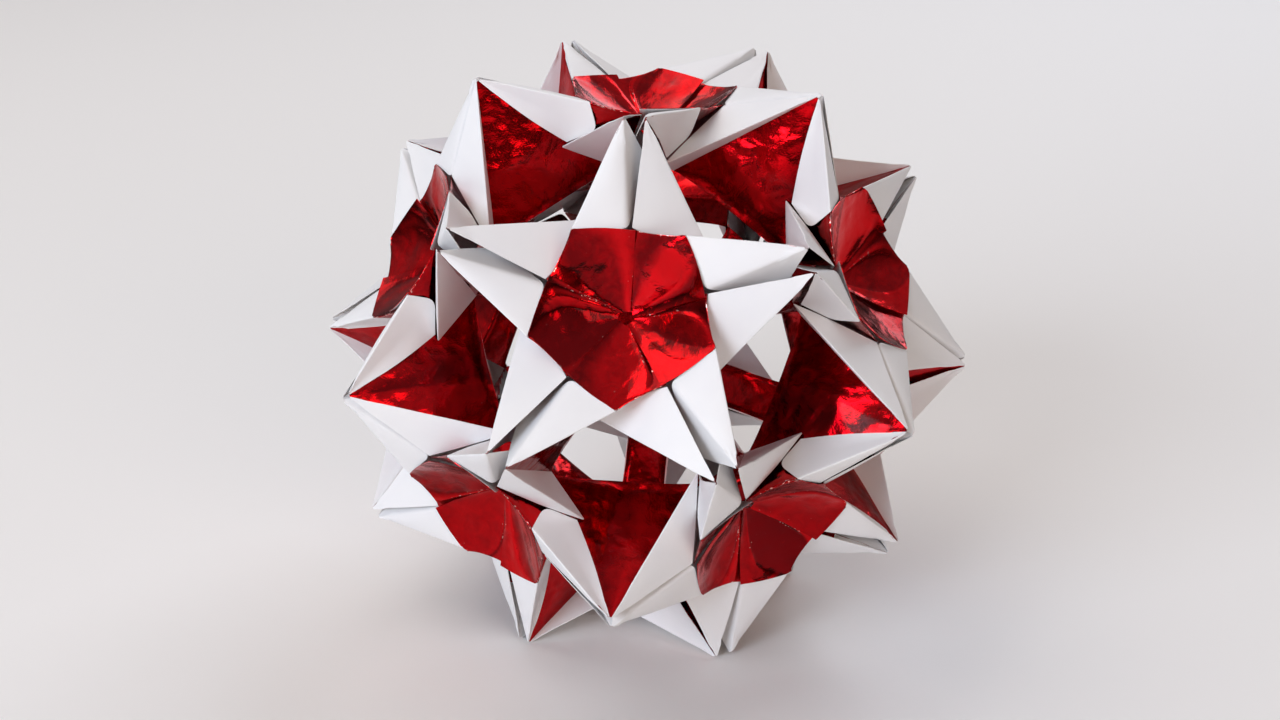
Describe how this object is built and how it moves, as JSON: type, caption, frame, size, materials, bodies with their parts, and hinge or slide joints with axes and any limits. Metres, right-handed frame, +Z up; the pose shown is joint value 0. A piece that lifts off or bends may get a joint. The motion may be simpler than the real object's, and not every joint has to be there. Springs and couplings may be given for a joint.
{
  "type": "modular folded paper ball",
  "caption": "Round ornament folded from alike paper sheets with a white and a red foil side: two-tipped horns round star-shaped red dishes.",
  "frame": {"origin": "middle of the ball in plan, on the surface that its ten lowest tips stand on", "axes": "+Z up through the middle of the top star; +X toward the middle of the star beside it that faces the viewer"},
  "size_m": [0.1004, 0.1044, 0.0893],
  "materials": {
    "foil_paper": "thin folded paper, plain white on one side and metallised red on the other"
  },
  "bodies": {
    "root": {"sheet_01": "foil_paper", "sheet_02": "foil_paper", "sheet_03": "foil_paper", "sheet_04": "foil_paper", "sheet_05": "foil_paper", "sheet_06": "foil_paper", "sheet_07": "foil_paper", "sheet_08": "foil_paper", "sheet_09": "foil_paper", "sheet_10": "foil_paper", "sheet_11": "foil_paper", "sheet_12": "foil_paper", "sheet_13": "foil_paper", "sheet_14": "foil_paper", "sheet_15": "foil_paper", "sheet_16": "foil_paper", "sheet_17": "foil_paper", "sheet_18": "foil_paper", "sheet_19": "foil_paper", "sheet_20": "foil_paper", "sheet_21": "foil_paper", "sheet_22": "foil_paper", "sheet_23": "foil_paper", "sheet_24": "foil_paper", "sheet_25": "foil_paper", "sheet_26": "foil_paper", "sheet_27": "foil_paper", "sheet_28": "foil_paper", "sheet_29": "foil_paper", "sheet_30": "foil_paper"}
  },
  "joints": []
}
